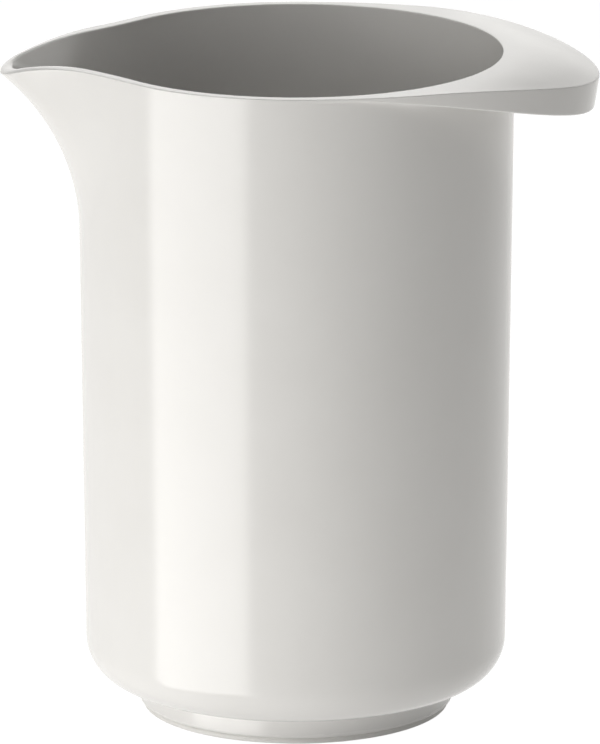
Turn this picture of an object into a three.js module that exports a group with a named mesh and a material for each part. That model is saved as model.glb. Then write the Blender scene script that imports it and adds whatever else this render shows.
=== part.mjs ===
import * as THREE from "three";

// A one-litre mixing jug: one melamine moulding, and the rubber ring in its foot.
// Millimetres, +Z up. The origin is on the body's axis at the table.
// The handle points to +X, the spout to -X.

const degrees = THREE.MathUtils.degToRad;

// Body
const RIM_HEIGHT = 165; // above the table
const BODY_RADIUS = 53.4; // outside, at the rim
const BODY_DRAFT = degrees(0.65); // the wall leans in on its way down
const WALL = 2.9;
const BASE = 3.1;
const CORNER_RADIUS = 10.4; // outside, from the wall to the underside
const RIM_ROUND = 0.3;
const RIM_BAND = 1.2; // least height of the side between the rim's two outer edges

// Spout
const SPOUT_DEPTH = 44.2; // from the rim's level down to where the spout leaves the wall
const SPOUT_FLARE = 26.6; // how far the nose would stand out at the rim's level, without the lip's dip
const SPOUT_NOSE = 7.5; // radius of the nose in plan, at the rim's level
const SPOUT_NOSE_INSIDE = 6; // the same for the inner wall
const SPOUT_FLANK = 136; // radius of the hollow flanks in plan
const LIP_SETBACK = 4.1; // the lip starts to dip this far inside the body's radius
const LIP_ARC = 50; // radius of the lip's dip

// Wing handle
const WING_OVERHANG = 20.6; // beyond the body's radius
const WING_TOP_DROP = 5.75; // of the upper edge, at the tip
const WING_TOP_RUN = 42; // length over which the upper edge drops
const WING_LOW_DROP = 13.65; // of the lower edge below the rim, at the tip
const WING_LOW_RUN = 77; // length over which the lower edge drops
const WING_DRAFT = degrees(9); // lean of the side, and of the hollow's side
const WING_EDGE_ROUND = 0.45; // lower edge
const WING_FILLET = 2.5; // from the hollow's roof to the body
const WING_RUNOUT = 1.5; // height over which the lower edge fades into the wall

// Foot
const FOOT_HEIGHT = 7.2; // from the table to the underside
const FOOT_LEDGE = 2.1; // flat underside between the corner and the foot
const FOOT_WALL = 5; // at the lower edge
const FOOT_DRAFT = degrees(6);
const FOOT_FILLET = 1;
const FOOT_ROUND = 0.5;

// Non-slip ring
const RING_HEIGHT = 1.7; // the strip that shows
const RING_SETBACK = 1; // inside the foot's edges
const RING_ROUND = 0.5;
const RING_TONGUE = 1.4; // width
const RING_TONGUE_RISE = 2.4;
const RING_CLEARANCE = 0.15; // around the tongue

// Facets
const AROUND = 88;
const SPOUT_CROWDING = 0.35; // draws the facets towards the spout
const WALL_STEPS = 8;
const CORNER_STEPS = 7;
const ROUND_STEPS = 2;
const MOST_ROUNDED = 0.45; // share of a side that a rounded corner may take
const TOP_STEPS = 4;
const LIP_PASSES = 14;
const LEAST_LEDGE = 0.001;
const SKIRT_SHARE = 0.35; // most of the ledge that the skirt's wall takes
const SKIRT_STEP = 0.05; // share of the ledge from the skirt's wall to the hollow's roof

const SPOUT_BOTTOM = RIM_HEIGHT - SPOUT_DEPTH;
const SPOUT_ARC = (SPOUT_DEPTH ** 2 + SPOUT_FLARE ** 2) / (2 * SPOUT_FLARE);
const WING_REACH = BODY_RADIUS + WING_OVERHANG;
const FLOOR = FOOT_HEIGHT + BASE;
const FOOT_TOP_RADIUS = bodyRadius(FOOT_HEIGHT + CORNER_RADIUS) - CORNER_RADIUS - FOOT_LEDGE;
const FOOT_RADIUS = FOOT_TOP_RADIUS - (FOOT_HEIGHT - RING_HEIGHT) * Math.tan(FOOT_DRAFT);
const FOOT_INNER_RADIUS = FOOT_RADIUS - FOOT_WALL;
const TONGUE_RADIUS = FOOT_RADIUS - FOOT_WALL / 2;

// A point at a distance from the axis, in a direction around it.
function polar(radius, theta, z) {
  return new THREE.Vector3(radius * Math.cos(theta), radius * Math.sin(theta), z);
}

function mix(from, to, share) {
  return from.clone().lerp(to, share);
}

// A corner rounded off over a length of both its sides, which reaches at most part of the way along them.
function rounded(before, corner, after, length) {
  const towards = (point) => mix(corner, point, Math.min(length / corner.distanceTo(point), MOST_ROUNDED));
  return new THREE.QuadraticBezierCurve3(towards(before), corner, towards(after)).getPoints(ROUND_STEPS);
}

// Quarter of a circle between an upright wall and a level face, from the face up to the wall.
function quarter(wallRadius, level, radius, theta) {
  const points = [];
  for (let step = 0; step <= CORNER_STEPS; step++) {
    const turn = (step / CORNER_STEPS) * Math.PI * 0.5;
    const inward = radius * (1 - Math.sin(turn));
    const rise = radius * (1 - Math.cos(turn));
    points.push(polar(wallRadius - inward, theta, level + rise));
  }
  return points;
}

function bodyRadius(z) {
  return BODY_RADIUS - (RIM_HEIGHT - z) * Math.tan(BODY_DRAFT);
}

// A skin of the body at a height, some way inside the outer one.
// It is a circle, and where the spout is, a round nose with hollow flanks.
function skin(theta, z, depth, rimNose) {
  const body = bodyRadius(z) - depth;
  const rise = Math.max((z - SPOUT_BOTTOM) / SPOUT_DEPTH, 0);
  const flareArc = SPOUT_ARC + depth;
  const flare = flareArc - Math.sqrt(flareArc ** 2 - (rise * SPOUT_DEPTH) ** 2);
  const nose = THREE.MathUtils.lerp(body, rimNose, rise);
  const centre = body + flare - nose;
  const side = Math.sign(theta) || 1;
  const phi = Math.PI - Math.abs(theta);
  const flankRadius = SPOUT_FLANK + depth;
  const flankReach = body + flankRadius;
  const cosine = (flankReach ** 2 + centre ** 2 - (nose + flankRadius) ** 2) / (2 * flankReach * centre);
  const bodyEnd = centre > 0 ? Math.acos(THREE.MathUtils.clamp(cosine, -1, 1)) : 0;
  if (phi >= bodyEnd) {
    return polar(body, theta, z);
  }
  const flank = new THREE.Vector2(Math.cos(bodyEnd), Math.sin(bodyEnd)).multiplyScalar(flankReach);
  const noseCentre = new THREE.Vector2(centre, 0);
  const noseEnd = noseCentre.clone().lerp(flank, nose / (nose + flankRadius));
  const ray = new THREE.Vector2(Math.cos(phi), Math.sin(phi));
  const onNose = phi < noseEnd.angle();
  const arcCentre = onNose ? noseCentre : flank;
  const arcRadius = onNose ? nose : flankRadius;
  const along = arcCentre.dot(ray);
  const half = Math.sqrt(Math.max(arcRadius ** 2 - arcCentre.lengthSq() + along ** 2, 0));
  const found = ray.multiplyScalar(onNose ? along + half : along - half);
  return new THREE.Vector3(-found.x, side * found.y, z);
}

function outside(theta, z) {
  return skin(theta, z, 0, SPOUT_NOSE);
}

function inside(theta, z) {
  return skin(theta, z, WALL, SPOUT_NOSE_INSIDE);
}

function lipHeight(x) {
  const past = Math.max(-x - (BODY_RADIUS - LIP_SETBACK), 0);
  return RIM_HEIGHT - past ** 2 / (2 * LIP_ARC);
}

// The edge where a wall, given as a function of direction and height, meets the rim's dipping level.
function rimEdge(wallAt, theta) {
  let point = wallAt(theta, RIM_HEIGHT);
  for (let pass = 0; pass < LIP_PASSES; pass++) {
    point = wallAt(theta, lipHeight(point.x));
  }
  return point;
}

function drop(x, depth, run) {
  const share = Math.max((x - WING_REACH + run) / run, 0);
  return depth * share ** 2;
}

// Upper and lower edge of the wing: half an ellipse in plan, which leaves the body at its widest points.
// Away from the wing both edges run on round the rim.
function outerEdges(theta) {
  if (Math.cos(theta) <= 0) {
    const upper = rimEdge(outside, theta);
    return { upper, lower: outside(theta, upper.z - RIM_BAND) };
  }
  const radius = 1 / Math.hypot(Math.cos(theta) / WING_REACH, Math.sin(theta) / BODY_RADIUS);
  const upper = polar(radius, theta, RIM_HEIGHT);
  upper.z -= drop(upper.x, WING_TOP_DROP, WING_TOP_RUN);
  const lowest = Math.min(RIM_HEIGHT - drop(upper.x, WING_LOW_DROP, WING_LOW_RUN), upper.z - RIM_BAND);
  const normal = new THREE.Vector3(upper.x / WING_REACH ** 2, upper.y / BODY_RADIUS ** 2, 0).normalize();
  const lower = upper.clone().addScaledVector(normal, -(upper.z - lowest) * Math.tan(WING_DRAFT));
  const wall = bodyRadius(lowest);
  lower.z = 0;
  lower.setLength(Math.max(lower.length(), wall));
  lower.z = lowest;
  return { upper, lower };
}

// Top of the rim and the wing between the mouth's edge and the outer edge, falling away to the outside.
function topAt(mouth, upper, share) {
  const point = mix(mouth, upper, share);
  point.z = THREE.MathUtils.lerp(mouth.z, upper.z, share ** 2);
  return point;
}

// Underside of the wing from the body out to its lower edge.
// It is hollowed to an even wall, as a grip for the fingertips.
function wingUnderside(theta, mouth, upper, lower) {
  const wall = outside(theta, lower.z);
  const overhang = lower.clone().sub(wall);
  const ledge = Math.max(overhang.length(), LEAST_LEDGE);
  const fade = WING_RUNOUT * (1 - THREE.MathUtils.smoothstep(ledge, 0, WING_RUNOUT));
  const under = (share, hollowed) => {
    const roof = topAt(mouth, upper, 1 - (share * ledge) / (ledge + WALL)).z - WALL;
    const level = hollowed ? Math.max(roof, lower.z) : lower.z;
    return outside(theta, level - fade * share).addScaledVector(overhang, 1 - share);
  };
  const skirt = Math.min(WALL / ledge, SKIRT_SHARE);
  const lean = ((under(skirt, true).z - under(skirt, false).z) * Math.tan(WING_DRAFT)) / ledge;
  const roofStart = skirt + lean + SKIRT_STEP;
  const body = under(1, true);
  const below = outside(theta, body.z - 2 * WING_FILLET);
  const roofMiddle = under((roofStart + 1) / 2, true);
  return [
    ...rounded(below, body, roofMiddle, WING_FILLET),
    roofMiddle,
    under(roofStart, true),
    under(skirt, false),
    ...rounded(under(skirt, false), lower, upper, WING_EDGE_ROUND),
  ];
}

// Outer edge, top and mouth edge of the rim and the wing.
function rimTop(theta, mouth, upper, lower) {
  const points = rounded(lower, upper, topAt(mouth, upper, 1 - 1 / TOP_STEPS), RIM_ROUND);
  for (let step = TOP_STEPS - 1; step > 0; step--) {
    points.push(topAt(mouth, upper, step / TOP_STEPS));
  }
  const below = inside(theta, mouth.z - 2 * RIM_ROUND);
  return [...points, ...rounded(topAt(mouth, upper, 1 / TOP_STEPS), mouth, below, RIM_ROUND)];
}

// Foot from the middle of the underside to the body's corner, with the groove for the ring's tongue.
function foot(theta) {
  const at = (radius, z) => polar(radius, theta, z);
  const rise = FOOT_HEIGHT - RING_HEIGHT;
  const innerTop = at(FOOT_INNER_RADIUS - rise * Math.tan(FOOT_DRAFT), FOOT_HEIGHT);
  const innerEdge = at(FOOT_INNER_RADIUS, RING_HEIGHT);
  const outerEdge = at(FOOT_RADIUS, RING_HEIGHT);
  const outerTop = at(FOOT_TOP_RADIUS, FOOT_HEIGHT);
  const grooveHalf = RING_TONGUE / 2 + RING_CLEARANCE;
  const grooveRoof = RING_HEIGHT + RING_TONGUE_RISE + RING_CLEARANCE;
  const grooveIn = TONGUE_RADIUS - grooveHalf;
  const grooveOut = TONGUE_RADIUS + grooveHalf;
  const middle = at(0, FOOT_HEIGHT);
  const ledge = at(FOOT_TOP_RADIUS + FOOT_LEDGE, FOOT_HEIGHT);
  return [
    middle,
    ...rounded(middle, innerTop, innerEdge, FOOT_FILLET),
    ...rounded(innerTop, innerEdge, at(grooveIn, RING_HEIGHT), FOOT_ROUND),
    at(grooveIn, RING_HEIGHT),
    at(grooveIn, grooveRoof),
    at(grooveOut, grooveRoof),
    at(grooveOut, RING_HEIGHT),
    ...rounded(at(grooveOut, RING_HEIGHT), outerEdge, outerTop, FOOT_ROUND),
    ...rounded(outerEdge, outerTop, ledge, FOOT_FILLET),
  ];
}

// Wall from one height to another, not counting the last.
function wallPoints(surfaceAt, theta, from, to) {
  const points = [];
  for (let step = 0; step < WALL_STEPS; step++) {
    points.push(surfaceAt(theta, THREE.MathUtils.lerp(from, to, step / WALL_STEPS)));
  }
  return points;
}

// The moulding's outline in one direction: foot, outside, wing, rim, inside and floor.
function jugOutline(theta) {
  const { upper, lower } = outerEdges(theta);
  const mouth = rimEdge(inside, theta);
  const underside = wingUnderside(theta, mouth, upper, lower);
  const innerCorner = Math.max(CORNER_RADIUS - WALL, RIM_ROUND);
  const innerWall = bodyRadius(FLOOR + innerCorner) - WALL;
  const outerWall = bodyRadius(FOOT_HEIGHT + CORNER_RADIUS);
  return [
    ...foot(theta),
    ...quarter(outerWall, FOOT_HEIGHT, CORNER_RADIUS, theta),
    ...wallPoints(outside, theta, SPOUT_BOTTOM, underside[0].z),
    ...underside,
    ...rimTop(theta, mouth, upper, lower),
    ...wallPoints(inside, theta, SPOUT_BOTTOM, mouth.z - RIM_ROUND).reverse(),
    ...quarter(innerWall, FLOOR, innerCorner, theta).reverse(),
    polar(0, theta, FLOOR),
  ];
}

// The ring's outline: a flat strip under the foot, with a tongue that stands up in the groove.
function ringOutline(theta) {
  const at = (radius, z) => polar(radius, theta, z);
  const inner = FOOT_INNER_RADIUS + RING_SETBACK;
  const outer = FOOT_RADIUS - RING_SETBACK;
  const tongueIn = TONGUE_RADIUS - RING_TONGUE / 2;
  const tongueOut = TONGUE_RADIUS + RING_TONGUE / 2;
  const tongueTop = RING_HEIGHT + RING_TONGUE_RISE;
  const outline = [
    ...rounded(at(inner, RING_HEIGHT), at(inner, 0), at(outer, 0), RING_ROUND),
    ...rounded(at(inner, 0), at(outer, 0), at(outer, RING_HEIGHT), RING_ROUND),
    at(outer, RING_HEIGHT),
    at(tongueOut, RING_HEIGHT),
    at(tongueOut, tongueTop),
    at(tongueIn, tongueTop),
    at(tongueIn, RING_HEIGHT),
    at(inner, RING_HEIGHT),
  ];
  return [...outline, outline[0]];
}

// Directions around the axis, closest together at the spout, where the plan bends most.
function directions() {
  const angles = [];
  for (let step = 0; step <= AROUND; step++) {
    const turn = Math.PI * ((2 * step) / AROUND - 1);
    angles.push(turn + SPOUT_CROWDING * Math.sin(turn));
  }
  return angles;
}

// A skin turned round the axis, whose outline may change with the direction.
function turned(outlineAt) {
  const outlines = directions().map(outlineAt);
  const profile = outlines[0].map((point) => new THREE.Vector2(Math.hypot(point.x, point.y), point.z));
  const geometry = new THREE.LatheGeometry(profile, AROUND);
  const position = geometry.getAttribute("position");
  outlines.flat().forEach((point, index) => position.setXYZ(index, point.x, point.y, point.z));
  geometry.computeVertexNormals();
  return geometry;
}

function piece(name, geometry, finish) {
  const mesh = new THREE.Mesh(geometry, new THREE.MeshStandardMaterial(finish));
  mesh.name = name;
  return mesh;
}

const jug = new THREE.Group();
jug.add(piece("jug_body", turned(jugOutline), { color: 0xe9e8e3, roughness: 0.2, metalness: 0 }));
jug.add(piece("non_slip_ring", turned(ringOutline), { color: 0xe2e1dc, roughness: 0.65, metalness: 0 }));

export default jug;
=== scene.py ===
import math

import bmesh
import bpy
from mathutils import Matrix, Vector


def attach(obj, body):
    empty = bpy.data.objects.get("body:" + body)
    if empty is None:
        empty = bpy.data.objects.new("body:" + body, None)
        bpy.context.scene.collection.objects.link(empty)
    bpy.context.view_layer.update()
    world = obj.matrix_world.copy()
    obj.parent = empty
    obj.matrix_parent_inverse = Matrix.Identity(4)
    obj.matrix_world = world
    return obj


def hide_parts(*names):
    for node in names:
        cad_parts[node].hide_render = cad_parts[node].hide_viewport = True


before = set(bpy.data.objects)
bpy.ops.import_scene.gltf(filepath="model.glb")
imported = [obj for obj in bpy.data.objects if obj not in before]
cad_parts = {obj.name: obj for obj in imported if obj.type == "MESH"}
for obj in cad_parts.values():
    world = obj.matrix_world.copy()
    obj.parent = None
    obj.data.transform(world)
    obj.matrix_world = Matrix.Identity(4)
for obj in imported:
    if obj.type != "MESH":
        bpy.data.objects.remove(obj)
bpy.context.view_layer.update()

# Sizes of the jug in millimetres, with the axis of the round body on Z and the table at zero.
MM = 0.001
RIM_HEIGHT = 165.0
BODY_RADIUS = 53.4
BODY_DRAFT = math.radians(0.65)
WALL = 2.9
BASE = 3.1
CORNER_RADIUS = 10.4
RIM_ROUND = 0.3
RIM_BAND = 0.7

SPOUT_DEPTH = 44.2
SPOUT_FLARE = 26.6
SPOUT_NOSE = 7.5
SPOUT_NOSE_INSIDE = 6.0
SPOUT_FLANK = 136.0
LIP_SETBACK = 4.1
LIP_ARC = 50.0

WING_OVERHANG = 20.6
WING_TOP_DROP = 5.75
WING_TOP_RUN = 42.0
WING_LOW_DROP = 13.65
WING_LOW_RUN = 77.0
WING_DRAFT = math.radians(9)
WING_EDGE_ROUND = 0.45
WING_FILLET = 2.5
WING_RUNOUT = 0.5
SKIRT_SHARE = 0.35
SKIRT_STEP = 0.05
SKIRT_ROUND = 0.4
ROOF_ROUND = 0.8

FOOT_HEIGHT = 7.2
FOOT_LEDGE = 2.1
FOOT_WALL = 5.0
FOOT_DRAFT = math.radians(6)
FOOT_FILLET = 1.0
FOOT_ROUND = 0.5

RING_HEIGHT = 1.7
RING_SETBACK = 1.0
RING_ROUND = 0.5
RING_TONGUE = 1.4
RING_TONGUE_RISE = 2.4
RING_CLEARANCE = 0.15

# Fineness of the skins.
AROUND = 300
SPOUT_CROWDING = 0.35
WALL_STEPS = 36
CORNER_STEPS = 20
ROUND_STEPS = 5
TOP_STEPS = 10
ROOF_STEPS = 7
LIP_PASSES = 30
TINY = 1e-9
MERGE_DISTANCE = 1e-7

# Shares of an edge that its rounding may take up, and the reach of the points that keep faces flat.
ROUND_MOST = 0.45
HOLD_MOST = 0.49
HOLD_REACH = 1.35

# Shares of the rim's width, from the mouth outwards: its flat top and where its roundings turn towards.
TOP_START = 0.2
TOP_END = 0.8
TOP_TURN_IN = 0.3
TOP_TURN_OUT = 0.7

# Below the mouth: the point that its rounding turns towards, and the length left free, in roundings.
MOUTH_TURN = 2.0
MOUTH_FREE = 1.2

# Least width of the ledge under the wing, and the share of it that the fillet may take up.
LEDGE_LEAST = 0.001
FILLET_MOST = 0.4

SPOUT_BOTTOM = RIM_HEIGHT - SPOUT_DEPTH
SPOUT_ARC = (SPOUT_DEPTH ** 2 + SPOUT_FLARE ** 2) / (2 * SPOUT_FLARE)
WING_REACH = BODY_RADIUS + WING_OVERHANG
FLOOR = FOOT_HEIGHT + BASE


def polar(radius, theta, z):
    return Vector((radius * math.cos(theta), radius * math.sin(theta), z))


def smooth(value, low, high):
    share = min(max((value - low) / (high - low), 0.0), 1.0)
    return share * share * (3 - 2 * share)


def bend(start, corner, end, share):
    return start * (1 - share) ** 2 + corner * (2 * share * (1 - share)) + end * share ** 2


def rounded(before, corner, after, length):
    """A corner rounded off, with one more point on each side that keeps the faces there flat."""
    def towards(point, reach, most):
        return corner.lerp(point, min(reach / max((point - corner).length, TINY), most))

    start = towards(before, length, ROUND_MOST)
    end = towards(after, length, ROUND_MOST)
    points = [towards(before, length * HOLD_REACH, HOLD_MOST)]
    points += [bend(start, corner, end, step / ROUND_STEPS) for step in range(ROUND_STEPS + 1)]
    points.append(towards(after, length * HOLD_REACH, HOLD_MOST))
    return points


def quarter(wall_radius, level, radius, theta):
    """A quarter of a circle from a level face up to an upright wall."""
    points = []
    for step in range(CORNER_STEPS + 1):
        turn = math.pi / 2 * step / CORNER_STEPS
        reach = wall_radius - radius * (1 - math.sin(turn))
        points.append(polar(reach, theta, level + radius * (1 - math.cos(turn))))
    return points


def body_radius(z):
    return BODY_RADIUS - (RIM_HEIGHT - z) * math.tan(BODY_DRAFT)


FOOT_TOP_RADIUS = body_radius(FOOT_HEIGHT + CORNER_RADIUS) - CORNER_RADIUS - FOOT_LEDGE
FOOT_RADIUS = FOOT_TOP_RADIUS - (FOOT_HEIGHT - RING_HEIGHT) * math.tan(FOOT_DRAFT)
FOOT_INNER_RADIUS = FOOT_RADIUS - FOOT_WALL
TONGUE_RADIUS = FOOT_RADIUS - FOOT_WALL / 2


def skin(theta, z, depth, rim_nose):
    """A point some way inside the outer skin: on a circle, or at the spout on its nose or hollow flanks."""
    body = body_radius(z) - depth
    rise = max((z - SPOUT_BOTTOM) / SPOUT_DEPTH, 0.0)
    flare_arc = SPOUT_ARC + depth
    flare = flare_arc - math.sqrt(flare_arc ** 2 - (rise * SPOUT_DEPTH) ** 2)
    nose = body + (rim_nose - body) * rise
    centre = body + flare - nose
    phi = math.pi - abs(theta)
    flank_radius = SPOUT_FLANK + depth
    reach = body + flank_radius
    body_end = 0.0
    if centre > 0:
        cosine = (reach ** 2 + centre ** 2 - (nose + flank_radius) ** 2) / (2 * reach * centre)
        body_end = math.acos(min(max(cosine, -1.0), 1.0))
    if phi >= body_end:
        return polar(body, theta, z)
    flank = Vector((math.cos(body_end), math.sin(body_end))) * reach
    nose_centre = Vector((centre, 0.0))
    nose_end = nose_centre.lerp(flank, nose / (nose + flank_radius))
    ray = Vector((math.cos(phi), math.sin(phi)))
    on_nose = phi < math.atan2(nose_end.y, nose_end.x)
    middle, radius, facing = (nose_centre, nose, 1) if on_nose else (flank, flank_radius, -1)
    along = middle.dot(ray)
    half = math.sqrt(max(radius ** 2 - middle.length_squared + along ** 2, 0.0))
    found = ray * (along + facing * half)
    side = -1 if theta < 0 else 1
    return Vector((-found.x, side * found.y, z))


def outside(theta, z):
    return skin(theta, z, 0.0, SPOUT_NOSE)


def inside(theta, z):
    return skin(theta, z, WALL, SPOUT_NOSE_INSIDE)


def lip_height(x):
    past = max(-x - (BODY_RADIUS - LIP_SETBACK), 0.0)
    return RIM_HEIGHT - past ** 2 / (2 * LIP_ARC)


def rim_edge(wall_at, theta):
    """Where a wall meets the level of the rim, which dips along the spout."""
    point = wall_at(theta, RIM_HEIGHT)
    for _ in range(LIP_PASSES):
        point = wall_at(theta, lip_height(point.x))
    return point


def drop(x, depth, run):
    return depth * max((x - WING_REACH + run) / run, 0.0) ** 2


def outer_edges(theta):
    """Upper and lower outer edge: half an ellipse at the wing, the rim elsewhere."""
    if math.cos(theta) <= 0:
        upper = rim_edge(outside, theta)
        return upper, outside(theta, upper.z - RIM_BAND)
    reach = 1 / math.hypot(math.cos(theta) / WING_REACH, math.sin(theta) / BODY_RADIUS)
    upper = polar(reach, theta, RIM_HEIGHT)
    upper.z -= drop(upper.x, WING_TOP_DROP, WING_TOP_RUN)
    low = min(RIM_HEIGHT - drop(upper.x, WING_LOW_DROP, WING_LOW_RUN), upper.z - RIM_BAND)
    normal = Vector((upper.x / WING_REACH ** 2, upper.y / BODY_RADIUS ** 2, 0.0)).normalized()
    lower = upper - normal * ((upper.z - low) * math.tan(WING_DRAFT))
    lower.z = 0.0
    lower *= max(lower.length, body_radius(low)) / lower.length
    lower.z = low
    return upper, lower


def top_at(mouth, upper, share):
    point = mouth.lerp(upper, share)
    point.z = mouth.z + (upper.z - mouth.z) * share ** 2
    return point


def wing_underside(theta, mouth, upper, lower):
    """From the body out to the wing's lower edge, hollowed to an even wall for the fingertips."""
    overhang = lower - outside(theta, lower.z)
    ledge = max(overhang.length, LEDGE_LEAST)
    fade = WING_RUNOUT * (1 - smooth(ledge, 0.0, WING_RUNOUT))

    def under(share, hollowed=True):
        roof = top_at(mouth, upper, 1 - share * ledge / (ledge + WALL)).z - WALL
        level = max(roof, lower.z) if hollowed else lower.z
        return outside(theta, level - fade * share) + overhang * (1 - share)

    skirt = min(WALL / ledge, SKIRT_SHARE)
    lean = (under(skirt).z - under(skirt, False).z) * math.tan(WING_DRAFT) / ledge
    roof_start = skirt + lean + SKIRT_STEP
    fillet_share = min(WING_FILLET / ledge, FILLET_MOST * (1 - roof_start))
    body = under(1)
    below = outside(theta, body.z - WING_FILLET)
    fillet_end = under(1 - fillet_share)
    points = [bend(below, body, fillet_end, step / ROUND_STEPS) for step in range(ROUND_STEPS + 1)]
    for step in range(1, ROOF_STEPS):
        points.append(under(1 - fillet_share + (roof_start + fillet_share - 1) * step / ROOF_STEPS))
    points += rounded(points[-1], under(roof_start), under(skirt, False), ROOF_ROUND)
    points += rounded(under(roof_start), under(skirt, False), lower, SKIRT_ROUND)
    return points + rounded(under(skirt, False), lower, upper, WING_EDGE_ROUND)


def rim_top(theta, mouth, upper, lower):
    points = rounded(lower, upper, top_at(mouth, upper, TOP_TURN_OUT), RIM_ROUND)
    for step in range(TOP_STEPS, -1, -1):
        points.append(top_at(mouth, upper, TOP_START + (TOP_END - TOP_START) * step / TOP_STEPS))
    below = inside(theta, mouth.z - MOUTH_TURN)
    return points + rounded(top_at(mouth, upper, TOP_TURN_IN), mouth, below, RIM_ROUND)


def foot(theta):
    """From the middle of the underside to the body's corner, with the groove for the ring's tongue."""
    def at(radius, z):
        return polar(radius, theta, z)

    inner_top = at(FOOT_INNER_RADIUS - (FOOT_HEIGHT - RING_HEIGHT) * math.tan(FOOT_DRAFT), FOOT_HEIGHT)
    inner_edge = at(FOOT_INNER_RADIUS, RING_HEIGHT)
    outer_edge = at(FOOT_RADIUS, RING_HEIGHT)
    outer_top = at(FOOT_TOP_RADIUS, FOOT_HEIGHT)
    half = RING_TONGUE / 2 + RING_CLEARANCE
    roof = RING_HEIGHT + RING_TONGUE_RISE + RING_CLEARANCE
    groove_in, groove_out = TONGUE_RADIUS - half, TONGUE_RADIUS + half
    middle = at(0, FOOT_HEIGHT)
    ledge = at(FOOT_TOP_RADIUS + FOOT_LEDGE, FOOT_HEIGHT)
    points = [middle] + rounded(middle, inner_top, inner_edge, FOOT_FILLET)
    groove_start = at(groove_in, RING_HEIGHT)
    groove_end = at(groove_out, RING_HEIGHT)
    points += rounded(inner_top, inner_edge, groove_start, FOOT_ROUND)
    points += [groove_start, at(groove_in, roof), at(groove_out, roof), groove_end]
    points += rounded(groove_end, outer_edge, outer_top, FOOT_ROUND)
    return points + rounded(outer_edge, outer_top, ledge, FOOT_FILLET)


def wall_points(wall_at, theta, low, high):
    return [wall_at(theta, low + (high - low) * step / WALL_STEPS) for step in range(WALL_STEPS)]


def jug_outline(theta):
    upper, lower = outer_edges(theta)
    mouth = rim_edge(inside, theta)
    underside = wing_underside(theta, mouth, upper, lower)
    inner_corner = CORNER_RADIUS - WALL
    corner_top = body_radius(FOOT_HEIGHT + CORNER_RADIUS)
    points = foot(theta) + quarter(corner_top, FOOT_HEIGHT, CORNER_RADIUS, theta)
    points += wall_points(outside, theta, SPOUT_BOTTOM, underside[0].z)
    points += underside + rim_top(theta, mouth, upper, lower)
    points += wall_points(inside, theta, SPOUT_BOTTOM, mouth.z - MOUTH_FREE * RIM_ROUND)[::-1]
    points += quarter(body_radius(FLOOR + inner_corner) - WALL, FLOOR, inner_corner, theta)[::-1]
    return points + [polar(0, theta, FLOOR)]


def ring_outline(theta):
    def at(radius, z):
        return polar(radius, theta, z)

    inner, outer = FOOT_INNER_RADIUS + RING_SETBACK, FOOT_RADIUS - RING_SETBACK
    tongue_in, tongue_out = TONGUE_RADIUS - RING_TONGUE / 2, TONGUE_RADIUS + RING_TONGUE / 2
    top = RING_HEIGHT + RING_TONGUE_RISE
    points = rounded(at(inner, RING_HEIGHT), at(inner, 0), at(outer, 0), RING_ROUND)
    points += rounded(at(inner, 0), at(outer, 0), at(outer, RING_HEIGHT), RING_ROUND)
    points += [at(outer, RING_HEIGHT), at(tongue_out, RING_HEIGHT), at(tongue_out, top)]
    return points + [at(tongue_in, top), at(tongue_in, RING_HEIGHT), at(inner, RING_HEIGHT)]


def turned(name, outline_at, closed):
    """Spins one outline round the axis, then moves each row of points to the outline in its direction."""
    bm = bmesh.new()
    station = bm.verts.layers.int.new("station")
    row = []
    for index, point in enumerate(outline_at(0.0)):
        row.append(bm.verts.new((math.hypot(point.x, point.y), 0.0, point.z)))
        row[-1][station] = index
    ends = zip(row, row[1:] + row[:1]) if closed else zip(row, row[1:])
    edges = [bm.edges.new(pair) for pair in ends]
    bmesh.ops.spin(
        bm, geom=row + edges, cent=(0, 0, 0), axis=(0, 0, 1), angle=2 * math.pi, steps=AROUND, use_merge=True
    )
    outlines = {}
    for vert in bm.verts:
        turn = math.atan2(vert.co.y, vert.co.x)
        sector = round(turn / (2 * math.pi) * AROUND) % AROUND
        if sector not in outlines:
            outlines[sector] = outline_at(turn + SPOUT_CROWDING * math.sin(turn))
        vert.co = outlines[sector][vert[station]] * MM
    bmesh.ops.remove_doubles(bm, verts=bm.verts[:], dist=MERGE_DISTANCE)
    bmesh.ops.recalc_face_normals(bm, faces=bm.faces[:])
    for face in bm.faces:
        face.smooth = True
    mesh = bpy.data.meshes.new(name)
    bm.to_mesh(mesh)
    bm.free()
    piece = bpy.data.objects.new(name, mesh)
    bpy.context.scene.collection.objects.link(piece)
    return piece


# Finishes: colours, the polish from brightest to dullest, and the scale of clouds and grains per metre.
MELAMINE_DARK = (0.808, 0.797, 0.778)
MELAMINE_LIGHT = (0.832, 0.822, 0.804)
MELAMINE_IOR = 1.62
MELAMINE_POLISH = (0.12, 0.17)
MELAMINE_CLOUDS = 38.0
POLISH_CLOUDS = 150.0
SURFACE_WAVES = 90.0
SURFACE_WAVE_SHARE = 0.03
SURFACE_WAVE_DEPTH = 0.0002
SCUFF = 0.16
SCUFF_START = 0.0018
SCUFF_END = 0.0042
RUBBER_DARK = (0.785, 0.775, 0.75)
RUBBER_LIGHT = (0.825, 0.815, 0.79)
RUBBER_IOR = 1.5
RUBBER_POLISH = (0.45, 0.62)
RUBBER_CLOUDS = 260.0
RUBBER_SPECKS = 700.0
RUBBER_GRAIN = 1600.0
RUBBER_GRAIN_SHARE = 0.25
RUBBER_GRAIN_DEPTH = 0.0001
CLOUD_DETAIL = 5.0
CLOUD_ROUGHNESS = 0.55
CLOUD_LOW = 0.3
CLOUD_HIGH = 0.7


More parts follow.
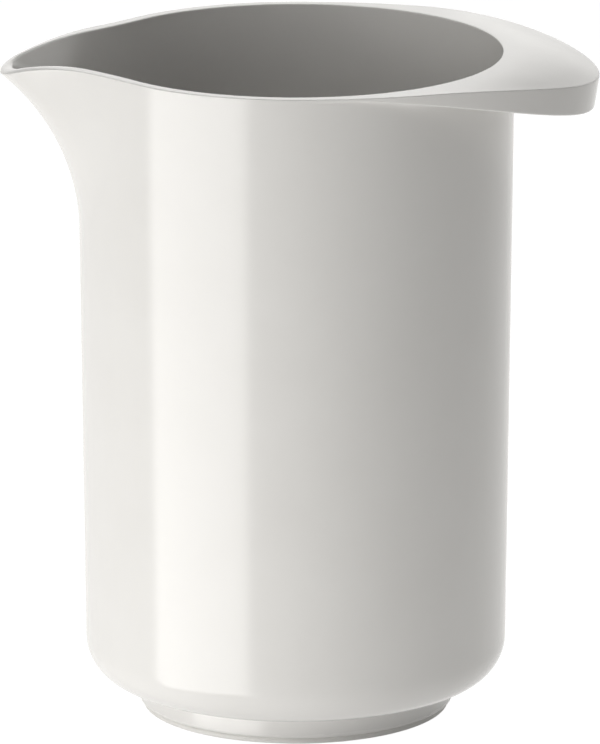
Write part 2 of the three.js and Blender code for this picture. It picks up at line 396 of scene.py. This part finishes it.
def mottle_group():
    """Soft clouds that run through a moulded piece, as a mask from 0 to 1."""
    group = bpy.data.node_groups.new("moulding_clouds", "ShaderNodeTree")
    group.interface.new_socket("Place", in_out="INPUT", socket_type="NodeSocketVector")
    group.interface.new_socket("Scale", in_out="INPUT", socket_type="NodeSocketFloat")
    group.interface.new_socket("Clouds", in_out="OUTPUT", socket_type="NodeSocketFloat")
    entry = group.nodes.new("NodeGroupInput")
    leave = group.nodes.new("NodeGroupOutput")
    noise = group.nodes.new("ShaderNodeTexNoise")
    noise.inputs["Detail"].default_value = CLOUD_DETAIL
    noise.inputs["Roughness"].default_value = CLOUD_ROUGHNESS
    spread = group.nodes.new("ShaderNodeMapRange")
    spread.inputs["From Min"].default_value = CLOUD_LOW
    spread.inputs["From Max"].default_value = CLOUD_HIGH
    group.links.new(entry.outputs["Place"], noise.inputs["Vector"])
    group.links.new(entry.outputs["Scale"], noise.inputs["Scale"])
    group.links.new(noise.outputs["Fac"], spread.inputs["Value"])
    group.links.new(spread.outputs["Result"], leave.inputs["Clouds"])
    return group


CLOUDS = mottle_group()


def clouds(tree, place, scale):
    node = tree.nodes.new("ShaderNodeGroup")
    node.node_tree = CLOUDS
    node.inputs["Scale"].default_value = scale
    tree.links.new(place, node.inputs["Place"])
    return node.outputs["Clouds"]


def ranged(tree, value, low, high, from_low=0.0, from_high=1.0):
    node = tree.nodes.new("ShaderNodeMapRange")
    node.interpolation_type = "SMOOTHSTEP"
    node.inputs["From Min"].default_value = from_low
    node.inputs["From Max"].default_value = from_high
    node.inputs["To Min"].default_value = low
    node.inputs["To Max"].default_value = high
    tree.links.new(value, node.inputs["Value"])
    return node.outputs["Result"]


def mixed(tree, share, dark, light):
    node = tree.nodes.new("ShaderNodeMix")
    node.data_type = "RGBA"
    node.inputs["A"].default_value = (*dark, 1.0)
    node.inputs["B"].default_value = (*light, 1.0)
    tree.links.new(share, node.inputs["Factor"])
    return node.outputs["Result"]


def worked(tree, operation, first, second):
    node = tree.nodes.new("ShaderNodeMath")
    node.operation = operation
    for socket, value in zip(node.inputs, (first, second)):
        if isinstance(value, (int, float)):
            socket.default_value = value
        else:
            tree.links.new(value, socket)
    return node.outputs["Value"]


def blank_material(name):
    material = bpy.data.materials.new(name)
    material.use_nodes = True
    tree = material.node_tree
    place = tree.nodes.new("ShaderNodeTexCoord").outputs["Object"]
    return material, tree, tree.nodes["Principled BSDF"], place


def bumped(tree, height, strength, distance, shader):
    bump = tree.nodes.new("ShaderNodeBump")
    bump.inputs["Strength"].default_value = strength
    bump.inputs["Distance"].default_value = distance
    tree.links.new(height, bump.inputs["Height"])
    tree.links.new(bump.outputs["Normal"], shader.inputs["Normal"])


def melamine():
    """Hard glossy off-white moulding, faintly clouded in colour and polish, and duller at the foot's edge."""
    material, tree, shader, place = blank_material("warm_white_melamine")
    shader.inputs["IOR"].default_value = MELAMINE_IOR
    tint = mixed(tree, clouds(tree, place, MELAMINE_CLOUDS), MELAMINE_DARK, MELAMINE_LIGHT)
    tree.links.new(tint, shader.inputs["Base Color"])
    split = tree.nodes.new("ShaderNodeSeparateXYZ")
    tree.links.new(place, split.inputs["Vector"])
    polish = ranged(tree, clouds(tree, place, POLISH_CLOUDS), *MELAMINE_POLISH)
    scuff = ranged(tree, split.outputs["Z"], SCUFF, 0.0, SCUFF_START, SCUFF_END)
    tree.links.new(worked(tree, "ADD", polish, scuff), shader.inputs["Roughness"])
    bumped(tree, clouds(tree, place, SURFACE_WAVES), SURFACE_WAVE_SHARE, SURFACE_WAVE_DEPTH, shader)
    return material


def rubber():
    """Light grey satin rubber with a fine grain."""
    material, tree, shader, place = blank_material("light_grey_rubber")
    shader.inputs["IOR"].default_value = RUBBER_IOR
    tint = mixed(tree, clouds(tree, place, RUBBER_CLOUDS), RUBBER_DARK, RUBBER_LIGHT)
    tree.links.new(tint, shader.inputs["Base Color"])
    polish = ranged(tree, clouds(tree, place, RUBBER_SPECKS), *RUBBER_POLISH)
    tree.links.new(polish, shader.inputs["Roughness"])
    bumped(tree, clouds(tree, place, RUBBER_GRAIN), RUBBER_GRAIN_SHARE, RUBBER_GRAIN_DEPTH, shader)
    return material


# Studio, in metres and degrees: the lamps' warm white, floor and ceiling, and the jug's shadow painted round
# the foot in the floor's light.
WHITE = (1.0, 1.0, 1.0)
LAMP_TINT = (1.014, 1.004, 0.982)
SOFTBOX_EDGE = 3.0
CEILING_LIGHT = 0.5
CEILING_START = 47.0
CEILING_FULL = 53.0
FLOOR_RADIUS = 4.0
FLOOR_LEVEL = -0.0003
FLOOR_COLOUR = (0.15, 0.15, 0.15)
FLOOR_GLOW = 0.96
FLOOR_SIDES = 96
FLOOR_LIGHT = 0.67
FLOOR_SHADE_LEFT = 0.34
FLOOR_SHADE_RIGHT = 0.52
FLOOR_SHADE_START = 0.044
FLOOR_SHADE_END = 0.07
FLOOR_TURN_LEFT = -0.03
FLOOR_TURN_RIGHT = 0.02
FLOOR_LIGHT_FADE = 0.55
FLOOR_LIGHT_END = 0.7
FLOOR_LIGHT_LEVEL = -0.0002

# Camera of the photograph, with its tilt below the horizon.
CAMERA_PLACE = (0.001047, -2.39566, 0.71779)
CAMERA_TILT = 0.258673
CAMERA_LENS = 606.1
CAMERA_SENSOR = 36.0
CAMERA_REACH = 50.0


def blank_floor(name):
    material = bpy.data.materials.new(name)
    material.use_nodes = True
    tree = material.node_tree
    tree.nodes.clear()
    return material, tree, tree.nodes.new("ShaderNodeOutputMaterial").inputs["Surface"]


def floor_paint():
    """White to the eye, with a little of the jug's shadow kept in it, and open to a look from below."""
    material, tree, surface = blank_floor("pale_floor")
    matt = tree.nodes.new("ShaderNodeBsdfDiffuse")
    matt.inputs["Color"].default_value = (*FLOOR_COLOUR, 1.0)
    glow = tree.nodes.new("ShaderNodeEmission")
    glow.inputs["Strength"].default_value = FLOOR_GLOW
    painted = tree.nodes.new("ShaderNodeAddShader")
    clear = tree.nodes.new("ShaderNodeBsdfTransparent")
    either = tree.nodes.new("ShaderNodeMixShader")
    tree.links.new(matt.outputs["BSDF"], painted.inputs[0])
    tree.links.new(glow.outputs["Emission"], painted.inputs[1])
    tree.links.new(tree.nodes.new("ShaderNodeNewGeometry").outputs["Backfacing"], either.inputs["Fac"])
    tree.links.new(painted.outputs["Shader"], either.inputs[1])
    tree.links.new(clear.outputs["BSDF"], either.inputs[2])
    tree.links.new(either.outputs["Shader"], surface)
    return material


def bounce_paint():
    """The floor's own light on the jug, with the jug's shadow painted into it: dim at the foot, above all at
    its right, and gone further out.
    """
    material, tree, surface = blank_floor("floor_bounce")
    place = tree.nodes.new("ShaderNodeTexCoord").outputs["Object"]
    split = tree.nodes.new("ShaderNodeSeparateXYZ")
    tree.links.new(place, split.inputs["Vector"])
    length = tree.nodes.new("ShaderNodeVectorMath")
    length.operation = "LENGTH"
    tree.links.new(place, length.inputs[0])
    far = length.outputs["Value"]
    # Painted shadow: the glow is dimmed close to the foot, and more at the right, in place of the jug's own
    # shadow on the floor.
    close = ranged(tree, far, 1.0, 0.0, FLOOR_SHADE_START, FLOOR_SHADE_END)
    side = split.outputs["X"]
    painted_shadow_depth = ranged(tree, side, FLOOR_SHADE_LEFT, FLOOR_SHADE_RIGHT, FLOOR_TURN_LEFT, FLOOR_TURN_RIGHT)
    level = worked(tree, "SUBTRACT", FLOOR_LIGHT, worked(tree, "MULTIPLY", close, painted_shadow_depth))
    reach = ranged(tree, far, 1.0, 0.0, FLOOR_LIGHT_FADE, FLOOR_LIGHT_END)
    glow = tree.nodes.new("ShaderNodeEmission")
    glow.inputs["Color"].default_value = (*LAMP_TINT, 1.0)
    tree.links.new(worked(tree, "MULTIPLY", level, reach), glow.inputs["Strength"])
    clear = tree.nodes.new("ShaderNodeBsdfTransparent")
    both = tree.nodes.new("ShaderNodeAddShader")
    tree.links.new(glow.outputs["Emission"], both.inputs[0])
    tree.links.new(clear.outputs["BSDF"], both.inputs[1])
    tree.links.new(both.outputs["Shader"], surface)
    return material


def softbox(tree, toward, bearing, half_width, edges, rise, level):
    """A lamp on the tent: its bearing from the camera's side, its half width, the softness of its left and
    right edge, and its lower and upper edge above the horizon."""
    x, y, z = toward
    across, along = math.sin(math.radians(bearing)), math.cos(math.radians(bearing))
    ahead = worked(tree, "SUBTRACT", worked(tree, "MULTIPLY", x, across), worked(tree, "MULTIPLY", y, along))
    aside = worked(tree, "ADD", worked(tree, "MULTIPLY", x, along), worked(tree, "MULTIPLY", y, across))
    angle = worked(tree, "ARCTAN2", aside, ahead)
    height = worked(tree, "ARCSINE", z, 0.0)

    def step(value, at, soft, low, high):
        return ranged(tree, value, low, high, math.radians(at - soft), math.radians(at + soft))

    left = step(angle, -half_width, edges[0], 0.0, 1.0)
    right = step(angle, half_width, edges[1], 1.0, 0.0)
    bottom = step(height, rise[0], SOFTBOX_EDGE, 0.0, level)
    top = step(height, rise[1], SOFTBOX_EDGE, 1.0, 0.0)
    wide = worked(tree, "MULTIPLY", left, right)
    tall = worked(tree, "MULTIPLY", bottom, top)
    return worked(tree, "MULTIPLY", wide, tall)


def lamps(tree, toward):
    """A tall softbox at the left in front with smaller ones over it, one at the right, two at the back, and
    a dim ceiling."""
    ceiling = [math.sin(math.radians(edge)) for edge in (CEILING_START, CEILING_FULL)]
    lit = [
        softbox(tree, toward, bearing=-54.5, half_width=28.5, edges=(3, 5), rise=(-34, 4), level=2.5),
        softbox(tree, toward, bearing=-30, half_width=10, edges=(3, 3), rise=(4, 13), level=4.7),
        softbox(tree, toward, bearing=-80, half_width=20, edges=(3, 3), rise=(4, 13), level=1.9),
        softbox(tree, toward, bearing=-50, half_width=10, edges=(3, 3), rise=(34, 50), level=5.4),
        softbox(tree, toward, bearing=105, half_width=45, edges=(30, 30), rise=(4, 22), level=0.75),
        softbox(tree, toward, bearing=-178, half_width=13, edges=(10, 10), rise=(-12, 22), level=0.3),
        softbox(tree, toward, bearing=-178, half_width=13, edges=(10, 10), rise=(5, 22), level=0.5),
        ranged(tree, toward["Z"], 0.0, CEILING_LIGHT, *ceiling),
    ]
    total = lit[0]
    for lamp in lit[1:]:
        total = worked(tree, "ADD", total, lamp)
    return total


def light_tent():
    """The studio round the jug: white to the camera and in reflections, with the lamps' light on the jug."""
    world = bpy.data.worlds.new("light_tent")
    world.use_nodes = True
    tree = world.node_tree
    tree.nodes.clear()
    split = tree.nodes.new("ShaderNodeSeparateXYZ")
    tree.links.new(tree.nodes.new("ShaderNodeTexCoord").outputs["Generated"], split.inputs["Vector"])
    rays = tree.nodes.new("ShaderNodeLightPath").outputs
    white = worked(tree, "MAXIMUM", rays["Is Camera Ray"], rays["Is Glossy Ray"])
    white = worked(tree, "MAXIMUM", white, rays["Is Transmission Ray"])
    unseen = worked(tree, "SUBTRACT", 1.0, rays["Is Camera Ray"])
    lit = worked(tree, "MULTIPLY", lamps(tree, split.outputs), unseen)
    light = tree.nodes.new("ShaderNodeBackground")
    leave = tree.nodes.new("ShaderNodeOutputWorld")
    tree.links.new(mixed(tree, rays["Is Camera Ray"], LAMP_TINT, WHITE), light.inputs["Color"])
    tree.links.new(worked(tree, "ADD", white, lit), light.inputs["Strength"])
    tree.links.new(light.outputs["Background"], leave.inputs["Surface"])
    return world


def stage_disc(name, radius, level, material):
    bm = bmesh.new()
    bmesh.ops.create_circle(bm, cap_ends=True, segments=FLOOR_SIDES, radius=radius)
    bmesh.ops.translate(bm, verts=bm.verts[:], vec=(0, 0, level))
    mesh = bpy.data.meshes.new(name)
    bm.to_mesh(mesh)
    bm.free()
    mesh.materials.append(material)
    disc = bpy.data.objects.new(name, mesh)
    bpy.context.scene.collection.objects.link(disc)
    return disc


def camera():
    data = bpy.data.cameras.new("photo_camera")
    data.sensor_fit = "HORIZONTAL"
    data.sensor_width = CAMERA_SENSOR
    data.lens = CAMERA_LENS
    data.clip_end = CAMERA_REACH
    eye = bpy.data.objects.new("photo_camera", data)
    eye.location = CAMERA_PLACE
    eye.rotation_euler = (math.pi / 2 - CAMERA_TILT, 0.0, 0.0)
    bpy.context.scene.collection.objects.link(eye)
    bpy.context.scene.camera = eye


jug = turned("jug", jug_outline, closed=False)
jug.data.materials.append(melamine())
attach(jug, "root")
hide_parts("jug_body")

ring = turned("foot_ring", ring_outline, closed=True)
ring.data.materials.append(rubber())
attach(ring, "root")
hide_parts("non_slip_ring")

bounce = stage_disc("floor_bounce", FLOOR_LIGHT_END, FLOOR_LIGHT_LEVEL, bounce_paint())
bounce.visible_camera = False
bounce.visible_glossy = False
bounce.visible_transmission = False

floor = stage_disc("floor", FLOOR_RADIUS, FLOOR_LEVEL, floor_paint())
floor.visible_diffuse = False
floor.visible_glossy = False
floor.visible_transmission = False
floor.visible_shadow = False

scene = bpy.context.scene
scene.world = light_tent()
scene.view_settings.view_transform = "Standard"
camera()
